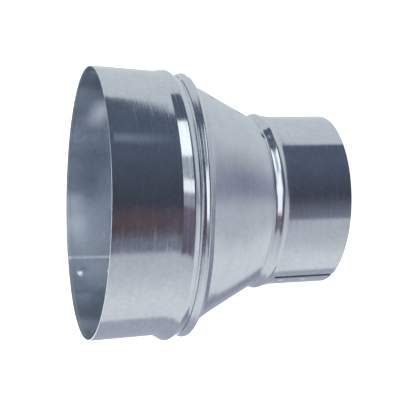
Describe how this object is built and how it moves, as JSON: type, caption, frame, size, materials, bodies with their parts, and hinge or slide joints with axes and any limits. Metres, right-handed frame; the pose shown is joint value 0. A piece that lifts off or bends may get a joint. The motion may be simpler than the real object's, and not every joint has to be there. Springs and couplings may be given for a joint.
{
  "type": "round duct reducer",
  "caption": "Round galvanised sheet-steel duct reducer: a wide collar with a stop bead, a taper, and a narrow collar, beaded together.",
  "frame": {"origin": "on the axis, in the plane of the small collar's rim, which the part stands on", "axes": "+Z runs along the axis from the small collar to the large mouth; +X and +Y are across it, with the cone's seam near +X"},
  "size_m": [0.1556, 0.1556, 0.1418],
  "materials": {
    "collar_steel": "bright galvanised",
    "cone_steel": "satin galvanised"
  },
  "bodies": {
    "root": {"large_collar": "collar_steel", "cone": "cone_steel", "small_collar": "collar_steel"}
  },
  "joints": []
}
